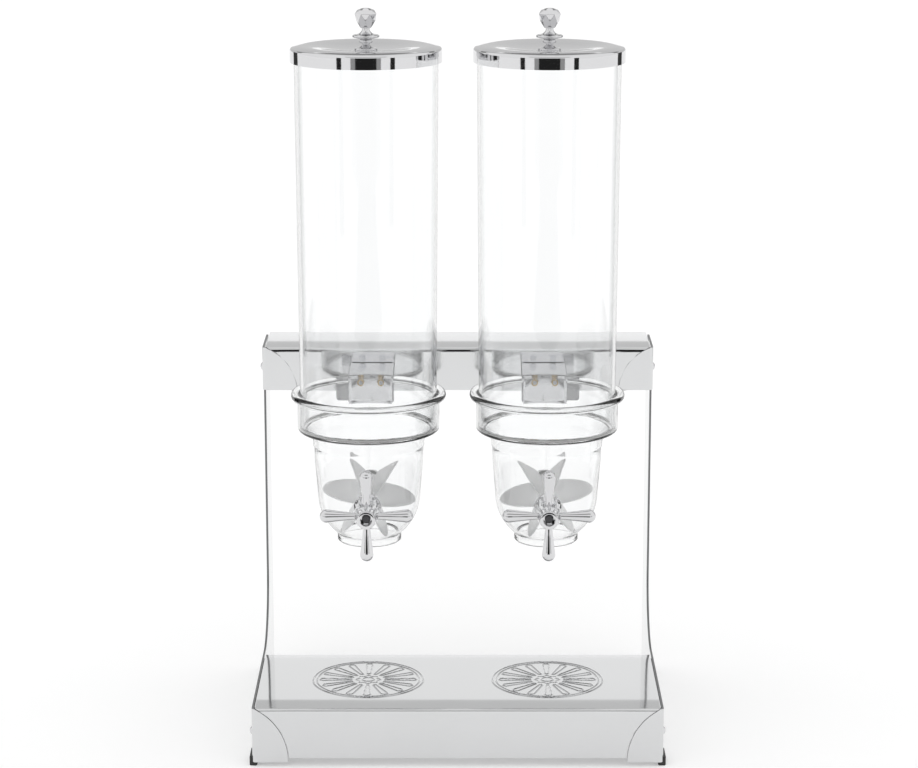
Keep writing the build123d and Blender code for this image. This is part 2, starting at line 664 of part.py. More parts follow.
    # Handle screw: sunk in the hub's recess, into the end of the shaft.
    with BuildPart() as handle_screw:
        with BuildSketch(facing(y0 - handle_reach + recess_depth)):
            with Locations((x0, shaft_height)):
                Circle(screw_head_radius - 0.3)
        extrude(amount=screw_head_height)
        fillet(handle_screw.edges().sort_by(Axis.Y)[0], radius=0.9)
        with BuildSketch(facing(y0 - handle_reach + recess_depth)):
            with Locations((x0, shaft_height)):
                Circle(screw_radius)
        extrude(amount=-12)
    handle_screw.part.label = f"handle_screw_{unit}"
    export_step(handle_screw.part, f"parts/handle_screw_{unit}.step")

    # Hanger: a chromed channel screwed to the bowl's pad, with a lip that drops behind the
    # wall hook and a folded ear on its outer side for the fingers.
    hook_lip_y = wall_plate_y - 2.9
    ear_width = 11.0
    with BuildPart() as hanger:
        with BuildSketch(facing(pad_y)) as front_view:
            with Locations((x0, (hanger_top + hanger_bottom) / 2)):
                Rectangle(hanger_width, hanger_top - hanger_bottom)
            fillet(front_view.vertices().group_by(Axis.Z)[-1], radius=2.6)
            with Locations(*[(x0 + x, hanger_top - 5.5) for x in (-screw_pitch / 2, screw_pitch / 2)]):
                Circle(screw_hole_radius, mode=Mode.SUBTRACT)
        extrude(amount=-hanger_sheet)
        with BuildSketch(facing(pad_y)) as channel:
            with Locations((x0, (hanger_top + hanger_bottom) / 2)):
                Rectangle(hanger_width, hanger_top - hanger_bottom)
            fillet(channel.vertices().group_by(Axis.Z)[-1], radius=2.6)
            with Locations((x0, (hanger_top + hanger_bottom) / 2 - hanger_sheet)):
                Rectangle(hanger_width - 2 * hanger_sheet, hanger_top - hanger_bottom,
                          mode=Mode.SUBTRACT)
        extrude(amount=-(wall_plate_y - contact_gap - pad_y))
        with BuildSketch(Plane.XY.offset(hanger_top + 1)):
            with Locations((x0, hook_lip_y + 5)):
                Rectangle(hanger_width - 2 * hanger_sheet - 0.4, 10)
        extrude(amount=-(hanger_sheet + 3), mode=Mode.SUBTRACT)
        with BuildSketch(facing(hook_lip_y)):
            with Locations((x0, hanger_top - hanger_sheet - hook_depth / 2 - 0.4)):
                Rectangle(2 * (hanger_width / 2 - hanger_sheet) - 4, hook_depth + 1.0)
        extrude(amount=hanger_sheet)
        with BuildSketch(facing(pad_y)):
            with Locations((x0 + side * (hanger_width / 2 + ear_width / 2 - 1),
                            (hanger_top + hanger_bottom) / 2 - 1.5)):
                RectangleRounded(ear_width + 2, hanger_top - hanger_bottom - 7, 2.5)
        extrude(amount=-hanger_sheet)
    hanger.part.label = f"hanger_{unit}"
    export_step(hanger.part, f"parts/hanger_{unit}.step")

    # Threaded inserts in the bowl's pad, and the screws that hold the hanger to them.
    with BuildPart() as inserts:
        for x in (-screw_pitch / 2, screw_pitch / 2):
            with BuildSketch(facing(pad_y - 0.05)):
                with Locations((x0 + x, hanger_top - 5.5)):
                    Circle(insert_radius)
                    Circle(screw_radius, mode=Mode.SUBTRACT)
            extrude(amount=insert_length - 0.1)
    inserts.part.label = f"inserts_{unit}"
    export_step(inserts.part, f"parts/inserts_{unit}.step")

    with BuildPart() as hanger_screws:
        for x in (-screw_pitch / 2, screw_pitch / 2):
            with BuildSketch(facing(pad_y + hanger_sheet)):
                with Locations((x0 + x, hanger_top - 5.5)):
                    Circle(screw_head_radius - 1.0)
            extrude(amount=-screw_head_height)
            with BuildSketch(facing(pad_y + hanger_sheet)):
                with Locations((x0 + x, hanger_top - 5.5)):
                    Circle(screw_radius)
            extrude(amount=hanger_sheet + insert_length - 0.4)
    hanger_screws.part.label = f"hanger_screws_{unit}"
    export_step(hanger_screws.part, f"parts/hanger_screws_{unit}.step")

    # Wall hook: a plate on the beam with a shelf and an upturned lip for the hanger.
    hook_shelf_top = hanger_top - hanger_sheet - hook_depth - 1.2
    hook_front_y = hook_lip_y - hanger_sheet - hook_gap - 2.0
    with BuildPart() as wall_hook:
        with BuildSketch(facing(beam_front_y)):
            with Locations((x0, (beam_top + beam_bottom) / 2 - 1)):
                RectangleRounded(hanger_width + 1, beam_height - 8, 2)
            with Locations(*[(x0 + x, hanger_top + 4.0) for x in (-screw_pitch / 2, screw_pitch / 2)]):
                Circle(screw_hole_radius, mode=Mode.SUBTRACT)
        extrude(amount=wall_plate)
        with BuildSketch(facing(wall_plate_y)):
            with Locations((x0, hook_shelf_top - 1.0)):
                Rectangle(hanger_width - 2 * hanger_sheet - 5, 2.0)
        extrude(amount=wall_plate_y - hook_front_y)
        with BuildSketch(facing(hook_front_y)):
            with Locations((x0, hook_shelf_top - 2.0 + (hook_depth + 1.0) / 2)):
                Rectangle(hanger_width - 2 * hanger_sheet - 5, hook_depth + 1.0)
        extrude(amount=-2.0)
    wall_hook.part.label = f"wall_hook_{unit}"
    export_step(wall_hook.part, f"parts/wall_hook_{unit}.step")

    # Screws and nuts that hold the wall hook to the beam.
    with BuildPart() as hook_screws:
        for x in (-screw_pitch / 2, screw_pitch / 2):
            with BuildSketch(facing(wall_plate_y)):
                with Locations((x0 + x, hanger_top + 4.0)):
                    Circle(screw_head_radius - 0.8)
            extrude(amount=screw_head_height - 0.4)
            with BuildSketch(facing(wall_plate_y)):
                with Locations((x0 + x, hanger_top + 4.0)):
                    Circle(screw_radius)
            extrude(amount=-(wall_plate + fold_thickness + nut_height + 1.0))
    hook_screws.part.label = f"hook_screws_{unit}"
    export_step(hook_screws.part, f"parts/hook_screws_{unit}.step")

    with BuildPart() as hook_nuts:
        for x in (-screw_pitch / 2, screw_pitch / 2):
            with BuildSketch(facing(beam_front_y + fold_thickness)):
                with Locations((x0 + x, hanger_top + 4.0)):
                    RegularPolygon(nut_flats / 2, 6, major_radius=False)
                    Circle(screw_radius, mode=Mode.SUBTRACT)
            extrude(amount=-nut_height)
    hook_nuts.part.label = f"hook_nuts_{unit}"
    export_step(hook_nuts.part, f"parts/hook_nuts_{unit}.step")
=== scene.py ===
import math

import bmesh
import bpy
from mathutils import Matrix, Vector


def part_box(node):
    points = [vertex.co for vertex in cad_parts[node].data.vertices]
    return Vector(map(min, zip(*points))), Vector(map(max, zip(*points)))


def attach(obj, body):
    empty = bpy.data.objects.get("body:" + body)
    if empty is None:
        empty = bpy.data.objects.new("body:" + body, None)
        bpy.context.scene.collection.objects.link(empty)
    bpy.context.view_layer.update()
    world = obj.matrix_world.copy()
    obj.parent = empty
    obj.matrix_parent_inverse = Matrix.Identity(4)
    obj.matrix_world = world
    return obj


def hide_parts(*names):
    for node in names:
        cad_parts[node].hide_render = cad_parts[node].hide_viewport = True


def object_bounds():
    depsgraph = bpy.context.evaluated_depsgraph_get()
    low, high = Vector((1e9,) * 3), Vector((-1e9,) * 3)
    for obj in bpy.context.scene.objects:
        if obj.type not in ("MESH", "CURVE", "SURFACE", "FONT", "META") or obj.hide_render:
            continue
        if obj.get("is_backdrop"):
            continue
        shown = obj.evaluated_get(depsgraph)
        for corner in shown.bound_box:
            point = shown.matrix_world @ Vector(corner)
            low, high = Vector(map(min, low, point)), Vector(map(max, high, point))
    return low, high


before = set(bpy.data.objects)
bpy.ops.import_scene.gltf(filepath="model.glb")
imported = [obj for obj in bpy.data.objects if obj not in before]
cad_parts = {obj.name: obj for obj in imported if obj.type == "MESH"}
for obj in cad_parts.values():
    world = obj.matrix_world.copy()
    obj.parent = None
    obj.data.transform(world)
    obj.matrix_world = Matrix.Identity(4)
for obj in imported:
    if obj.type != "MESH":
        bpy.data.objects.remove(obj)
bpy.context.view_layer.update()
mm = 0.001

# ---------------------------------------------------------------- side plates
# Two flat plates of 2 mm stainless sheet, laser cut and polished on both faces. Each is folded
# round the front corners of the base and of the beam, and ends there in a curved flange.
plate_sheet = 2.0 * mm
fold_radius = 3.2 * mm
flange_width = 29.0 * mm
panel_gap = 4.0 * mm
upright_width = 56.0 * mm
root_radius = 58.0 * mm
beam_notch_radius = 6.0 * mm
top_round = 17.0 * mm
bottom_round = 15.0 * mm
flange_tip = 0.35 * mm

plate_low, plate_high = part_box("side_plate_left")
deck_low, deck_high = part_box("base_deck")
beam_low, beam_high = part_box("top_beam")
outer_x = -plate_low.x


def arc(centre, radius, start, end, steps):
    """Points of a circular arc in a plane, angles in degrees."""
    turns = [math.radians(start + (end - start) * i / steps) for i in range(steps + 1)]
    return [(centre[0] + radius * math.cos(t), centre[1] + radius * math.sin(t)) for t in turns]


def bow(a, b, c, steps):
    """Points of the arc that runs from a through b to c."""
    a, b, c = Vector(a), Vector(b), Vector(c)
    ab, ac = b - a, c - a
    turn = 2 * (ab.x * ac.y - ab.y * ac.x)
    centre = a + Vector((ac.y * ab.length_squared - ab.y * ac.length_squared,
                         ab.x * ac.length_squared - ac.x * ab.length_squared)) / turn
    first = math.degrees(math.atan2(a.y - centre.y, a.x - centre.x))
    last = math.degrees(math.atan2(c.y - centre.y, c.x - centre.x))
    sweep = (last - first) % 360 if turn > 0 else -((first - last) % 360)
    return arc(centre, (a - centre).length, first, first + sweep, steps)


def corner_cut(top, bottom, grow, steps=14):
    """The curved cut of a folded corner on the +X side, from the top edge down, as (x, z)."""
    width = flange_width + grow
    inner = outer_x - plate_sheet
    shoulder = (inner - 0.56 * width, top - 0.28 * (top - bottom) + grow)
    return bow((inner, top + grow), shoulder, (inner - width, bottom), steps)


def make_object(name, builder, material, body, nodes, sharp=35):
    """Turns a finished bmesh into a piece that rides on a body and stands for its CAD nodes."""
    bmesh.ops.recalc_face_normals(builder, faces=builder.faces)
    for face in builder.faces:
        face.smooth = True
    for edge in builder.edges:
        joined = len(edge.link_faces) == 2
        edge.smooth = joined and edge.calc_face_angle(0.0) < math.radians(sharp)
    mesh = bpy.data.meshes.new(name)
    builder.to_mesh(mesh)
    builder.free()
    piece = bpy.data.objects.new(name, mesh)
    bpy.context.scene.collection.objects.link(piece)
    piece.data.materials.append(material)
    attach(piece, body)
    if nodes:
        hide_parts(*nodes)
    return piece


def soften(piece, width, segments=2, angle=40):
    """Rounds the piece's hard edges a little, as sheet and mouldings have them."""
    bevel = piece.modifiers.new("soft_edges", "BEVEL")
    bevel.width = width
    bevel.segments = segments
    bevel.limit_method = "ANGLE"
    bevel.angle_limit = math.radians(angle)
    bevel.harden_normals = True


def wear_group():
    """Shared node group: wiping smears, fine scratches and a slight unevenness of tone."""
    group = bpy.data.node_groups.new("handled_surface", "ShaderNodeTree")
    for label, value in (("Smear Size", 9.0), ("Smear", 0.5), ("Scratch", 0.3)):
        socket = group.interface.new_socket(label, in_out="INPUT", socket_type="NodeSocketFloat")
        socket.default_value = value
    for label in ("Mask", "Height"):
        group.interface.new_socket(label, in_out="OUTPUT", socket_type="NodeSocketFloat")
    nodes, links = group.nodes, group.links
    source = nodes.new("NodeGroupInput")
    target = nodes.new("NodeGroupOutput")
    place = nodes.new("ShaderNodeTexCoord")
    smear = nodes.new("ShaderNodeTexNoise")
    smear.inputs["Detail"].default_value = 5.0
    smear.inputs["Distortion"].default_value = 0.6
    stretch = nodes.new("ShaderNodeMapping")
    stretch.inputs["Scale"].default_value = (60.0, 900.0, 900.0)
    scratch = nodes.new("ShaderNodeTexNoise")
    scratch.inputs["Scale"].default_value = 1.0
    scratch.inputs["Detail"].default_value = 3.0
    weigh_smear = nodes.new("ShaderNodeMath")
    weigh_smear.operation = "MULTIPLY"
    weigh_scratch = nodes.new("ShaderNodeMath")
    weigh_scratch.operation = "MULTIPLY"
    total = nodes.new("ShaderNodeMath")
    total.operation = "ADD"
    links.new(place.outputs["Object"], smear.inputs["Vector"])
    links.new(source.outputs["Smear Size"], smear.inputs["Scale"])
    links.new(place.outputs["Object"], stretch.inputs["Vector"])
    links.new(stretch.outputs["Vector"], scratch.inputs["Vector"])
    links.new(smear.outputs["Fac"], weigh_smear.inputs[0])
    links.new(source.outputs["Smear"], weigh_smear.inputs[1])
    links.new(scratch.outputs["Fac"], weigh_scratch.inputs[0])
    links.new(source.outputs["Scratch"], weigh_scratch.inputs[1])
    links.new(weigh_smear.outputs[0], total.inputs[0])
    links.new(weigh_scratch.outputs[0], total.inputs[1])
    links.new(total.outputs[0], target.inputs["Mask"])
    links.new(weigh_scratch.outputs[0], target.inputs["Height"])
    return group


handled_surface = wear_group()


def finish_material(name, dark, light, rough, metallic, smear=(9.0, 0.7, 0.3), relief=0.02):
    """A material whose colour, roughness and relief all come from the shared surface group."""
    material = bpy.data.materials.new(name)
    material.use_nodes = True
    nodes, links = material.node_tree.nodes, material.node_tree.links
    shader = nodes["Principled BSDF"]
    shader.inputs["Metallic"].default_value = metallic
    group = nodes.new("ShaderNodeGroup")
    group.node_tree = handled_surface
    for label, value in zip(("Smear Size", "Smear", "Scratch"), smear):
        group.inputs[label].default_value = value
    tone = nodes.new("ShaderNodeMix")
    tone.data_type = "RGBA"
    tone.inputs["A"].default_value = (*dark, 1.0)
    tone.inputs["B"].default_value = (*light, 1.0)
    spread = nodes.new("ShaderNodeMapRange")
    spread.inputs["From Min"].default_value = 0.25
    spread.inputs["From Max"].default_value = 0.75
    spread.inputs["To Min"].default_value = rough[0]
    spread.inputs["To Max"].default_value = rough[1]
    bump = nodes.new("ShaderNodeBump")
    bump.inputs["Strength"].default_value = relief
    bump.inputs["Distance"].default_value = 0.2 * mm
    links.new(group.outputs["Mask"], tone.inputs["Factor"])
    links.new(tone.outputs["Result"], shader.inputs["Base Color"])
    links.new(group.outputs["Mask"], spread.inputs["Value"])
    links.new(spread.outputs["Result"], shader.inputs["Roughness"])
    links.new(group.outputs["Height"], bump.inputs["Height"])
    links.new(bump.outputs["Normal"], shader.inputs["Normal"])
    return material


polished_steel = finish_material("polished_steel", (0.66, 0.665, 0.67), (0.73, 0.735, 0.74),
                                 (0.05, 0.10), 1.0, smear=(7.0, 0.75, 0.25))
cut_edge_steel = finish_material("cut_edge_steel", (0.13, 0.132, 0.135), (0.30, 0.303, 0.306),
                                 (0.3, 0.5), 1.0, smear=(40.0, 0.5, 0.5), relief=0.2)


def make_sheet(piece, sheet, even=False):
    """Gives a flat skin its sheet thickness, inwards, with duller laser-cut edges."""
    piece.data.materials.append(cut_edge_steel)
    thick = piece.modifiers.new("sheet", "SOLIDIFY")
    thick.thickness = sheet
    thick.offset = -1.0
    thick.use_even_offset = even
    thick.material_offset_rim = 1


def plate_outline():
    """The plate's flat part in side view, as (y, z), without the two folded strips in front."""
    front, back = plate_low.y + fold_radius, plate_high.y
    beam_front = beam_low.y + fold_radius
    upright_front = back - upright_width
    top, bottom, deck = plate_high.z, plate_low.z, deck_high.z
    points = [(front, bottom), (front, deck)]
    points += arc((upright_front - root_radius, deck + root_radius), root_radius, -90, 0, 24)
    points += arc((upright_front - beam_notch_radius, beam_low.z - beam_notch_radius),
                  beam_notch_radius, 0, 90, 6)
    points += [(beam_front, beam_low.z), (beam_front, top)]
    points += arc((back - top_round, top - top_round), top_round, 90, 0, 12)
    points += arc((back - bottom_round, bottom + bottom_round), bottom_round, 0, -90, 12)
    return points


for side, name in ((-1, "side_plate_left"), (1, "side_plate_right")):
    skin = bmesh.new()
    skin.faces.new([skin.verts.new((side * outer_x, y, z)) for y, z in plate_outline()])
    for front, top, foot, cut_foot in (
            (plate_low.y, deck_high.z, plate_low.z, plate_low.z + panel_gap),
            (beam_low.y, plate_high.z, beam_low.z, beam_low.z + panel_gap)):
        strip = []
        for x, y in arc((outer_x - fold_radius, front + fold_radius), fold_radius, 0, -90, 8):
            strip.append((skin.verts.new((side * x, y, foot)), skin.verts.new((side * x, y, top))))
        for one, two in zip(strip, strip[1:]):
            skin.faces.new((one[0], two[0], two[1], one[1]))
        edge_x = outer_x - fold_radius
        rim = [(x, z) for x, z in corner_cut(top, cut_foot, 0.0) if x < edge_x - 0.5 * mm]
        rim = [(edge_x, top - flange_tip)] + rim + [(rim[-1][0], foot), (edge_x, foot)]
        corner = [skin.verts.new((side * x, front, z)) for x, z in rim]
        skin.faces.new(corner)
    bmesh.ops.remove_doubles(skin, verts=skin.verts, dist=0.4 * mm)
    piece = make_object(name + "_sheet", skin, polished_steel, "stand", [name])
    make_sheet(piece, plate_sheet, even=True)
    soften(piece, 0.3 * mm)

# ---------------------------------------------------------------- base deck
# One folded tray of 1.5 mm polished stainless: top, front panel, rear skirt and end tabs. A ring
# of sixteen drop-shaped outlines is pressed up in the top under each spout, with nothing between.
deck_sheet = 1.5 * mm
seam = 0.8 * mm
deck_bend = 2.2 * mm
rosette_radius = 49.0 * mm
rosette_shift = 2.0 * mm
spoke_count = 16
spoke_start, spoke_end = 16.0 * mm, 39.5 * mm
line_width = 0.8 * mm
line_height = 0.6 * mm

tube_boxes = {unit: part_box(f"tube_{unit}") for unit in ("left", "right")}
axis_x = (tube_boxes["right"][0].x + tube_boxes["right"][1].x) / 2
axis_y = (tube_boxes["right"][0].y + tube_boxes["right"][1].y) / 2
rosette_x = axis_x + rosette_shift


def ridge(distance, half_width, height):
    """A pressed line's height at a distance from its middle."""
    reach = min(1.0, abs(distance) / half_width)
    return height * (0.5 + 0.5 * math.cos(math.pi * reach))


def rosette_height(x, y):
    """Relief of the pressed rosette at a point, measured from the rosette's centre."""
    radius = math.hypot(x, y)
    if radius > rosette_radius + mm:
        return 0.0
    angle = math.atan2(y, x)
    outer_ring = ridge(radius - (rosette_radius - 0.6 * mm), line_width, line_height)
    inner_ring = ridge(radius - (rosette_radius - 4.0 * mm), line_width, 0.55 * mm)
    eye = ridge(radius - 5.0 * mm, line_width, 0.5 * mm)
    petal_ring = ridge(radius - (9.6 + 1.3 * math.cos(8 * angle)) * mm, 0.7 * mm, 0.5 * mm)
    pitch = 2 * math.pi / spoke_count
    spoke = angle - pitch * round(angle / pitch)
    along, across = radius * math.cos(spoke), radius * math.sin(spoke)
    share = min(1.0, max(0.0, (along - spoke_start) / (spoke_end - spoke_start)))
    drop_radius = (1.3 + 1.5 * share) * mm
    gap = math.hypot(along - (spoke_start + share * (spoke_end - spoke_start)), across) - drop_radius
    return max(outer_ring, inner_ring, eye, petal_ring, ridge(gap, 0.75 * mm, line_height))


def spread(start, end, step):
    """Evenly spaced numbers from start to end, about a step apart."""
    count = max(1, round((end - start) / step))
    return [start + (end - start) * i / count for i in range(count + 1)]


def folded_sheet(profile, columns, edge_at, relief):
    """A sheet folded along X: profile rows (y, z), columns of x, and the end of each row."""
    skin = bmesh.new()
    grid = []
    for y, z in profile:
        row = []
        for x in columns:
            across = x
            if abs(x) >= columns[-1] - 1e-9:
                across = math.copysign(edge_at(y, z), x)
            row.append(skin.verts.new((across, y, z + relief(across, y, z))))
        grid.append(row)
    for low, high in zip(grid, grid[1:]):
        for i in range(len(columns) - 1):
            skin.faces.new((low[i], low[i + 1], high[i + 1], high[i]))
    return skin


def cut_edge(front, top, bottom):
    """Gives the half width of the sheet at a height, where the corner cut shortens the front."""
    outline = corner_cut(top, bottom + panel_gap - fold_radius, seam, 40)
    full = outer_x - plate_sheet - seam

    def edge_at(y, z):
        """Half the sheet's width at a point of its profile."""
        if y > front + deck_bend:
            return full
        inside = [x for x, height in outline if height >= z]
        return min(full, inside[-1] if inside else full)
    return edge_at


def deck_relief(x, y, z):
    """Height of the two rosettes above the flat of the deck."""
    if z < deck_high.z - 1e-6:
        return 0.0
    return rosette_height(abs(x) - rosette_x, y - axis_y)


fine = 0.6 * mm
margin = 1.5 * mm
plain_from = 141 * mm
cut_reach = plate_sheet / 8
inside, outside = rosette_x - rosette_radius - margin, rosette_x + rosette_radius + margin
right_half = [0.0] + spread(inside, outside, fine) + [plain_from, deck_high.x - cut_reach]
columns = [-x for x in reversed(right_half[1:])] + right_half
front, back, top = deck_low.y, deck_high.y, deck_high.z
profile = [(front, z) for z in spread(deck_low.z, top - deck_bend, 2.5 * mm)]
profile += arc((front + deck_bend, top - deck_bend), deck_bend, 180, 90, 7)[1:]
profile += [(y, top) for y in spread(axis_y - rosette_radius - margin,
                                     axis_y + rosette_radius + margin, fine)]
profile += arc((back - deck_bend, top - deck_bend), deck_bend, 90, 0, 7)
profile += [(back, top - 22 * mm)]
tray = folded_sheet(profile, columns, cut_edge(front, top, deck_low.z), deck_relief)
base = make_object("base_deck_sheet", tray, polished_steel, "stand", ["base_deck"])
make_sheet(base, deck_sheet)

# The pressed lines are coloured darker than the polished sheet round them, the more the higher they
# rise above it.
pressed_steel = polished_steel.copy()
pressed_steel.name = "pressed_steel"
tree = pressed_steel.node_tree
shader = tree.nodes["Principled BSDF"]
lines = tree.nodes.new("ShaderNodeAttribute")
lines.attribute_name = "pressed"
darker_by_height = tree.nodes.new("ShaderNodeMix")
darker_by_height.data_type = "RGBA"
darker_by_height.inputs["B"].default_value = (0.42, 0.425, 0.43, 1.0)
tree.links.new(lines.outputs["Fac"], darker_by_height.inputs["Factor"])
tree.links.new(shader.inputs["Base Color"].links[0].from_socket, darker_by_height.inputs["A"])
tree.links.new(darker_by_height.outputs["Result"], shader.inputs["Base Color"])
base.data.materials[0] = pressed_steel
full_effect = 0.45 * mm
depths = base.data.attributes.new("pressed", "FLOAT", "POINT")
for vert, depth in zip(base.data.vertices, depths.data):
    depth.value = min(1.0, max(0.0, vert.co.z - deck_high.z) / full_effect)


def block(builder, low, high):
    """Adds a plain block between two corners to a bmesh."""
    made = bmesh.ops.create_cube(builder, size=1.0)["verts"]
    size = Vector(high) - Vector(low)
    for vert in made:
        vert.co = Vector(low) + Vector((size.x * (vert.co.x + 0.5), size.y * (vert.co.y + 0.5),
                                        size.z * (vert.co.z + 0.5)))


tab_inset, tab_lift, tab_drop = 8.0 * mm, 12.0 * mm, 1.2 * mm
tabs = bmesh.new()
for side in (-1, 1):
    inner, outer = sorted((side * (outer_x - plate_sheet - deck_sheet), side * (outer_x - plate_sheet)))
    block(tabs, (inner, front + tab_inset, plate_low.z + tab_lift),
          (outer, back - tab_inset, top - tab_drop))
piece = make_object("base_deck_tabs", tabs, polished_steel, "stand", [])
soften(piece, 0.4 * mm)

# ---------------------------------------------------------------- cross beam
# A channel of the same sheet, open below, with returned lips. Its front corners are cut to the
# same curve as the base, so the side plates' flanges sit flush with it.
front, back, top, bottom = beam_low.y, beam_high.y, beam_high.z, beam_low.z
lip = 9.0 * mm
profile = [(front + lip, bottom), (front + deck_bend, bottom)]
profile += [(front, z) for z in spread(bottom, top - deck_bend, 2.5 * mm)]
profile += arc((front + deck_bend, top - deck_bend), deck_bend, 180, 90, 7)[1:]
profile += arc((back - deck_bend, top - deck_bend), deck_bend, 90, 0, 7)
profile += [(back, bottom), (back - lip, bottom)]
columns = spread(-(beam_high.x - cut_reach), beam_high.x - cut_reach, 30 * mm)
channel = folded_sheet(profile, columns, cut_edge(front, top, bottom), lambda x, y, z: 0.0)
beam = make_object("top_beam_sheet", channel, polished_steel, "stand", ["top_beam"])
make_sheet(beam, deck_sheet)
soften(beam, 0.25 * mm)

# ---------------------------------------------------------------- screws, nuts and feet
# Dome-head screws through the side plates with nuts inside, and black rubber caps pushed over
# the plates' lower edges. They are bought-in pieces, so they keep the shapes they have.
zinc_steel = finish_material("zinc_steel", (0.52, 0.53, 0.55), (0.72, 0.73, 0.75), (0.16, 0.32), 1.0,
                             smear=(60.0, 0.7, 0.3))
black_rubber = finish_material("black_rubber", (0.012, 0.012, 0.012), (0.035, 0.034, 0.033),
                               (0.45, 0.7), 0.0, smear=(45.0, 0.7, 0.3), relief=0.3)


def dress(node, material):
    """Gives a bought-in piece its finish."""
    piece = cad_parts[node]
    piece.data.materials.clear()
    piece.data.materials.append(material)


chrome = finish_material("chrome", (0.64, 0.64, 0.65), (0.74, 0.74, 0.75), (0.03, 0.08), 1.0,
                         smear=(14.0, 0.75, 0.25), relief=0.01)
for node in ("base_screws", "beam_screws"):
    dress(node, chrome)
dress("stand_nuts", zinc_steel)
dress("rubber_feet", black_rubber)

# ---------------------------------------------------------------- wall hooks and hangers
# Chromed brackets. Each hook is screwed to the beam, and the hanger on the bowl drops behind its
# lip, so that the whole container lifts off. Brass inserts in the bowl take the hanger's screws.
brass = finish_material("brass_insert", (0.55, 0.38, 0.16), (0.75, 0.56, 0.27), (0.2, 0.4), 1.0,
                        smear=(90.0, 0.6, 0.4))
for unit in ("left", "right"):
    dress(f"wall_hook_{unit}", chrome)
    dress(f"hanger_{unit}", chrome)
    dress(f"hook_screws_{unit}", zinc_steel)
    dress(f"hook_nuts_{unit}", zinc_steel)
    dress(f"hanger_screws_{unit}", zinc_steel)
    dress(f"inserts_{unit}", brass)

# ---------------------------------------------------------------- bowls
# Moulded in clear plastic: a collar with a rolled lip, a neck, a wall that closes round the
# paddle like part of a ball, and a short spout. Bosses carry the bushes and a pad the hanger.
shaft_height = (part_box("shaft_right")[0].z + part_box("shaft_right")[1].z) / 2
clear_plastic = finish_material("clear_plastic", (0.965, 0.972, 0.975), (1.0, 1.0, 1.0),
                                (0.0, 0.035), 0.0, smear=(6.0, 0.8, 0.2), relief=0.004)

# Painted shade: the colour darkens to a dark grey towards the wall's outline, where the wall is seen
# along its surface.
tree = clear_plastic.node_tree
shader = tree.nodes["Principled BSDF"]
shader.inputs["Transmission Weight"].default_value = 1.0
shader.inputs["IOR"].default_value = 1.49
tint = shader.inputs["Base Color"].links[0].from_socket
painted_edge_shade_weight = tree.nodes.new("ShaderNodeLayerWeight")
painted_edge_shade_weight.inputs["Blend"].default_value = 0.5
# Painted shade: how far the colour darkens, rising towards the outline.
depth = tree.nodes.new("ShaderNodeMapRange")
depth.inputs["From Min"].default_value = 0.66
depth.inputs["From Max"].default_value = 0.95
depth.inputs["To Min"].default_value = 0.0
depth.inputs["To Max"].default_value = 0.8
# Painted shade: this mixes the dark grey of the outline into the plastic's colour.
through = tree.nodes.new("ShaderNodeMix")
through.data_type = "RGBA"
through.inputs["B"].default_value = (0.16, 0.17, 0.175, 1.0)
tree.links.new(painted_edge_shade_weight.outputs["Facing"], depth.inputs["Value"])
tree.links.new(depth.outputs["Result"], through.inputs["Factor"])
tree.links.new(tint, through.inputs["A"])
tree.links.new(through.outputs["Result"], shader.inputs["Base Color"])


def lathe(builder, outline, place, steps=144, flute=None):
    """Turns a closed outline of (radius, height) in mm about the local Z axis into a solid."""
    rows = []
    for radius, height in outline:
        if radius < 1e-6:
            rows.append([builder.verts.new(place @ Vector((0, 0, height * mm)))])
            continue
        row = []
        for i in range(steps):
            angle = 2 * math.pi * i / steps
            reach = radius * mm * (flute(radius, height, angle) if flute else 1.0)
            row.append(builder.verts.new(place @ Vector((reach * math.cos(angle),
                                                         reach * math.sin(angle), height * mm))))
        rows.append(row)
    for low, high in zip(rows, rows[1:] + rows[:1]):
        for i in range(steps):
            j = (i + 1) % steps
            if len(low) == 1 and len(high) == 1:
                break
            if len(low) == 1:
                builder.faces.new((low[0], high[j], high[i]))
            elif len(high) == 1:
                builder.faces.new((low[i], low[j], high[0]))
            else:
                builder.faces.new((low[i], low[j], high[j], high[i]))


def solid(builder):
    """A loose mesh object made from a bmesh, for cutting and joining."""
    bmesh.ops.recalc_face_normals(builder, faces=builder.faces)
    mesh = bpy.data.meshes.new("loose")
    builder.to_mesh(mesh)
    builder.free()
    loose = bpy.data.objects.new("loose", mesh)
    bpy.context.scene.collection.objects.link(loose)
    return loose


def combine(start, steps):
    """Joins or cuts solids in turn, and returns the result as a bmesh."""
    for operation, other in steps:
        change = start.modifiers.new("change", "BOOLEAN")
        change.operation = operation
        change.solver = "EXACT"
        change.object = other
    graph = bpy.context.evaluated_depsgraph_get()
    made = bmesh.new()
    made.from_mesh(start.evaluated_get(graph).to_mesh())
    for loose in [start] + [other for _, other in steps]:
        bpy.data.objects.remove(loose)
    return made


def rod(radius, low, high, place, steps=64, round_by=0.0):
    """A round bar between two heights in mm on a local axis, with its top edge rounded."""
    made = bmesh.new()
    outline = [(0, low), (radius, low), (radius, high - round_by)]
    if round_by:
        outline += arc((radius - round_by, high - round_by), round_by, 0, 90, 5)[1:]
    lathe(made, outline + [(0, high)], place, steps)
    return solid(made)


def shaft_frame(side, turn=1):
    """The frame of one container's shaft: local Z runs out to the front, or to the back for -1."""
    return Matrix(((turn, 0, 0, side * axis_x), (0, 0, -turn, axis_y), (0, 1, 0, shaft_height),
                   (0, 0, 0, 1)))


